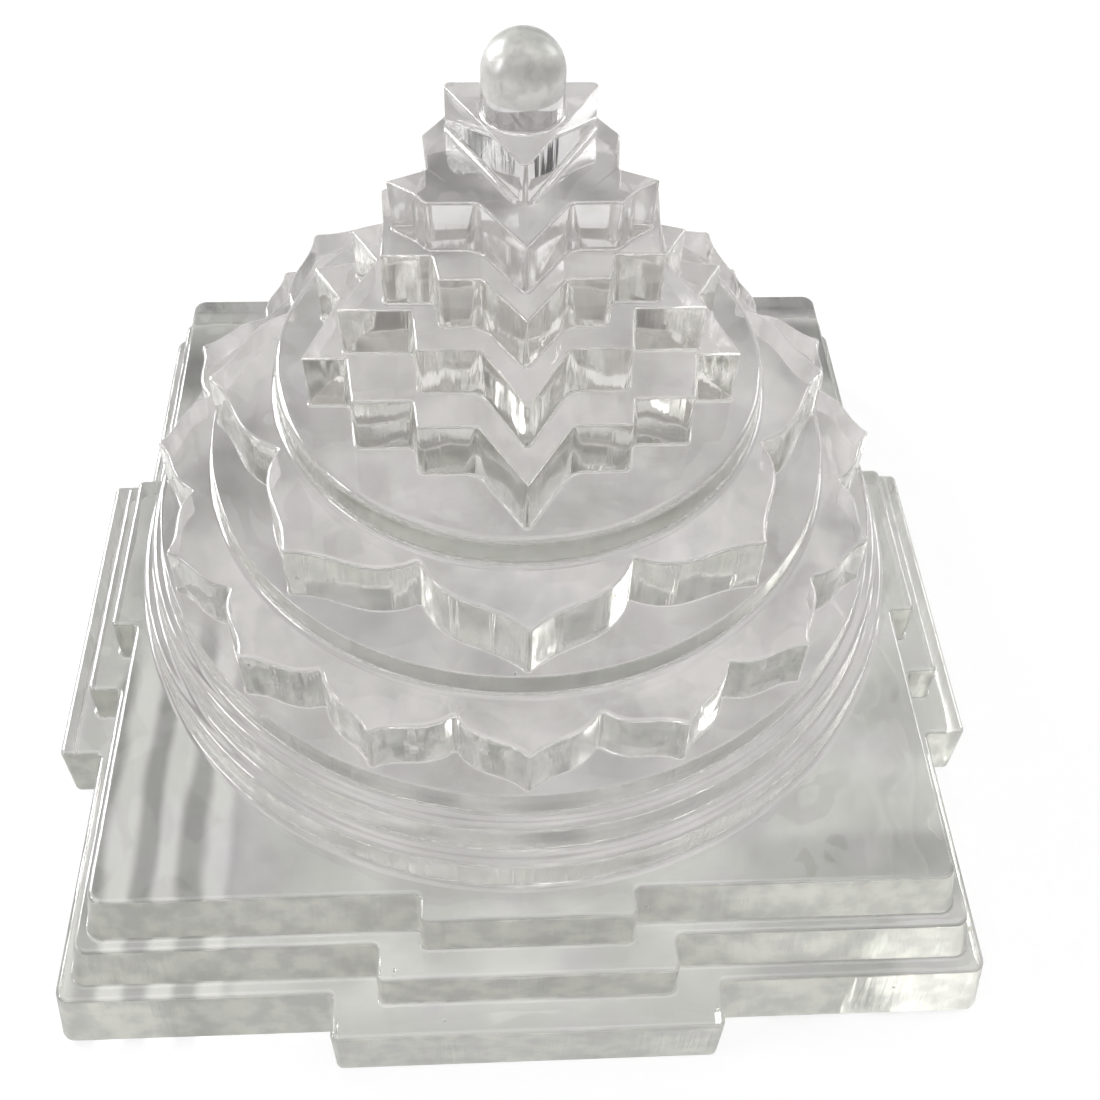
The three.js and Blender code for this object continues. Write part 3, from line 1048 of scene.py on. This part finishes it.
def painted_light_under_crystal(tree):
    """Brightness of the floor under the crystal, with painted light in soft streaks, patches and a
    band for the light that the crystal gathers there, and painted shade in spots and shadows. It is
    1 outside the foot, apart from a painted shadow that only the crystal shows."""
    where = add_node(tree, "ShaderNodeTexCoord").outputs["Object"]
    split = add_node(tree, "ShaderNodeSeparateXYZ", (where,))
    x, y = split.outputs["X"], split.outputs["Y"]
    # Patches of painted light and shade
    cloud = add_node(
        tree,
        "ShaderNodeTexNoise",
        {"Vector": where, "Scale": 1 / (PATCH_SIZE * MM), "Detail": 3.0},
    )
    patches = add_node(tree, "ShaderNodeMapRange", (cloud, *LIGHT_BY_PATCH), **SOFTLY)
    # Painted streaks of light, bent as by the round steps, under the left of the front. At scale 1
    # the streaks of a wave texture are 2 pi / 20 metres apart.
    waves = add_node(
        tree,
        "ShaderNodeTexWave",
        {
            "Vector": where,
            "Scale": 2 * math.pi / (20 * STREAK_SPACING * MM),
            "Distortion": 0.4,
            "Detail": 0.0,
            "Detail Scale": 0.5,
            "Phase Offset": STREAK_PHASE,
        },
        wave_type="BANDS",
        bands_direction="X",
    )
    streaks = add_node(
        tree, "ShaderNodeMapRange", (waves.outputs["Fac"], *LIGHT_BY_STREAK), **SOFTLY
    )
    left = add_node(tree, "ShaderNodeMapRange", (x, *in_mm(STREAKS_LEFT_OF), 1.0, 0.0), **SOFTLY)
    front = add_node(tree, "ShaderNodeMapRange", (y, *in_mm(STREAKS_BEFORE), 1.0, 0.0), **SOFTLY)
    side = add_node(tree, "ShaderNodeMath", (left, front), operation="MULTIPLY")
    lit = add_node(tree, "ShaderNodeMix", (side, patches, streaks))
    # A painted soft shadow under the right of the front
    right = add_node(tree, "ShaderNodeMapRange", (x, *in_mm(SHADOW_RIGHT_OF), 0.0, 1.0), **SOFTLY)
    near = add_node(tree, "ShaderNodeMapRange", (y, *in_mm(SHADOW_BEFORE), 1.0, 0.0), **SOFTLY)
    shadow = add_node(tree, "ShaderNodeMath", (right, near), operation="MULTIPLY")
    lit = add_node(tree, "ShaderNodeMath", (shadow, -SHADOW_DEPTH, lit), operation="MULTIPLY_ADD")
    # Spots of painted shade
    for spot in PAINTED_SHADE_SPOTS:
        lit = add_node(
            tree, "ShaderNodeMath", (lit, painted_shade_spot(tree, where, *spot)), operation="ADD"
        )
    # A band of painted light under the front edge, which shows in the ledges of the plates
    band = add_node(tree, "ShaderNodeMapRange", (y, *in_mm(BAND_BEFORE), BAND_GLOW, 0.0), **SOFTLY)
    lit = add_node(tree, "ShaderNodeMath", (lit, band), operation="ADD")
    # The painted pattern ends at the foot's edge
    inside = []
    for across in (x, y):
        far = add_node(tree, "ShaderNodeMath", (across,), operation="ABSOLUTE")
        inside.append(
            add_node(tree, "ShaderNodeMapRange", (far, *in_mm(PATTERN_WITHIN), 1.0, 0.0), **SOFTLY)
        )
    under = add_node(tree, "ShaderNodeMath", inside, operation="MULTIPLY")
    lit = add_node(tree, "ShaderNodeMix", (under, 1.0, lit))
    # A painted soft shadow behind the object, as its top levels show it
    behind = painted_shade_spot(tree, where, *SHADOW_BEHIND)
    through = add_node(tree, "ShaderNodeLightPath").outputs["Is Transmission Ray"]
    return add_node(tree, "ShaderNodeMath", (behind, through, lit), operation="MULTIPLY_ADD")


def add_floor():
    """A plain floor of matt white paper. It shows mostly its own white, which is the background,
    and keeps some of the shadow. Under the crystal its white carries painted light and shade."""
    deselect_all()
    bpy.ops.mesh.primitive_plane_add(size=FLOOR_SIZE, location=(0, 0, -FLOOR_DROP * MM))
    floor = bpy.context.active_object
    floor.name = "floor"
    bpy.ops.object.transform_apply(location=True, rotation=True, scale=True)
    tree, material = start_material("matt_paper_floor")
    paper = add_node(tree, "ShaderNodeBsdfDiffuse", {"Color": colour("floor_colour")})
    # Its glow carries the painted light and shade under the crystal
    white = add_node(tree, "ShaderNodeEmission", {"Strength": painted_light_under_crystal(tree)})
    share = add_node(
        tree, "ShaderNodeMath", (shows_background(tree), FLOOR_GLOW), operation="MULTIPLY"
    )
    both = add_node(tree, "ShaderNodeMixShader", (share, paper, white))
    add_node(tree, "ShaderNodeOutputMaterial", (both,))
    floor.data.materials.append(material)


def add_lights():
    """Soft boxes above and beside the object."""
    for name, place, size, power in LAMPS:
        bpy.ops.object.light_add(type="AREA", location=place)
        lamp = bpy.context.active_object
        lamp.name = name
        lamp.data.shape = "RECTANGLE"
        lamp.data.size, lamp.data.size_y = size
        lamp.data.energy = power
        lamp.rotation_mode = "QUATERNION"
        lamp.rotation_quaternion = (Vector(place) - LAMP_AIM).to_track_quat("Z", "Y")


def add_card(name, size, placing, shade):
    """A plain card that only the crystal shows. Its even shade needs no light."""
    deselect_all()
    bpy.ops.mesh.primitive_plane_add(size=1)
    card = bpy.context.active_object
    card.name = name
    card.data.transform(Matrix.Diagonal((*size, 1, 1)))
    card.matrix_world = placing
    tree, material = start_material(f"matt_{name}")
    paint = add_node(tree, "ShaderNodeEmission", {"Color": (*linear(shade), 1)})
    add_node(tree, "ShaderNodeOutputMaterial", (paint,))
    card.data.materials.append(material)
    card.visible_camera = False
    card.visible_shadow = False
    card.visible_diffuse = False


def add_cards():
    """Grey cards round the object, which show as streaks and dark edges, and narrow dark strips
    low behind it, which show as dark bars in the triangle's walls."""
    for name, azimuth, elevation, size, shade in CARDS:
        turn, lift = math.radians(azimuth), math.radians(elevation)
        away = Vector((
            math.sin(turn) * math.cos(lift),
            -math.cos(turn) * math.cos(lift),
            math.sin(lift),
        ))
        facing = away.to_track_quat("Z", "Y").to_matrix().to_4x4()
        place = Matrix.Translation(CARD_AIM + away * CARD_DISTANCE)
        add_card(name, size, place @ facing, shade)
    for name, x, y, turned, width, length, shade in STRIPS:
        place = Matrix.Translation(Vector((x, y, STRIP_HEIGHT)) * MM)
        facing = Matrix.Rotation(math.radians(turned), 4, "Z")
        add_card(name, (width * MM, length * MM), place @ facing, shade)


def light_world(scene):
    """Even pale surroundings, white where they are seen."""
    world = bpy.data.worlds.new("white_surroundings")
    scene.world = world
    world.use_nodes = True
    tree = world.node_tree
    tree.nodes.clear()
    fill, seen = (
        add_node(tree, "ShaderNodeBackground", {"Color": (1, 1, 1, 1), "Strength": strength})
        for strength in (FILL_LIGHT, 1.0)
    )
    both = add_node(tree, "ShaderNodeMixShader", (shows_background(tree), fill, seen))
    add_node(tree, "ShaderNodeOutputWorld", (both,))


def add_camera(scene):
    """A hand-held view from above the front."""
    forward = Vector((
        math.sin(CAMERA_YAW) * math.cos(CAMERA_PITCH),
        math.cos(CAMERA_YAW) * math.cos(CAMERA_PITCH),
        -math.sin(CAMERA_PITCH),
    ))
    level = Vector((math.cos(CAMERA_YAW), -math.sin(CAMERA_YAW), 0))
    upright = level.cross(forward)
    right = math.cos(CAMERA_ROLL) * level + math.sin(CAMERA_ROLL) * upright
    up = -math.sin(CAMERA_ROLL) * level + math.cos(CAMERA_ROLL) * upright
    bpy.ops.object.camera_add()
    camera = bpy.context.active_object
    camera.name = "camera"
    turned = Matrix((right, up, -forward)).transposed().to_4x4()
    camera.matrix_world = Matrix.Translation(Vector(CAMERA_PLACE) * MM) @ turned
    camera.data.lens = CAMERA_LENS
    camera.data.sensor_width = CAMERA_SENSOR
    camera.data.shift_y = CAMERA_SHIFT
    camera.data.clip_start, camera.data.clip_end = CAMERA_REACH
    scene.camera = camera


class YANTRA_PT_panel(bpy.types.Panel):
    """Lists the steps that build the yantra, and its settings"""

    bl_label = "Crystal Shri Yantra"
    bl_idname = "YANTRA_PT_panel"
    bl_space_type = "VIEW_3D"
    bl_region_type = "UI"
    bl_category = "Yantra"

    def draw(self, context):
        for settings in (context.scene.yantra_sizes, context.scene.yantra_looks):
            for key in settings.__annotations__:
                self.layout.prop(settings, key)
        for step in STEPS:
            self.layout.operator(step.bl_idname)


STEPS = (
    YANTRA_OT_base_plates,
    YANTRA_OT_ring_steps,
    YANTRA_OT_lotus_rings,
    YANTRA_OT_star_tiers,
    YANTRA_OT_triangle,
    YANTRA_OT_bindu,
    YANTRA_OT_stage,
)
CLASSES = (YantraSizes, YantraLooks, *STEPS, YANTRA_PT_panel)


def register():
    for cls in CLASSES:
        bpy.utils.register_class(cls)
    bpy.types.Scene.yantra_sizes = PointerProperty(type=YantraSizes)
    bpy.types.Scene.yantra_looks = PointerProperty(type=YantraLooks)


def unregister():
    del bpy.types.Scene.yantra_looks
    del bpy.types.Scene.yantra_sizes
    for cls in reversed(CLASSES):
        bpy.utils.unregister_class(cls)


def main():
    register()
    for step in STEPS:
        area, verb = step.bl_idname.split(".")
        getattr(getattr(bpy.ops, area), verb)()


if __name__ == "__main__":
    main()
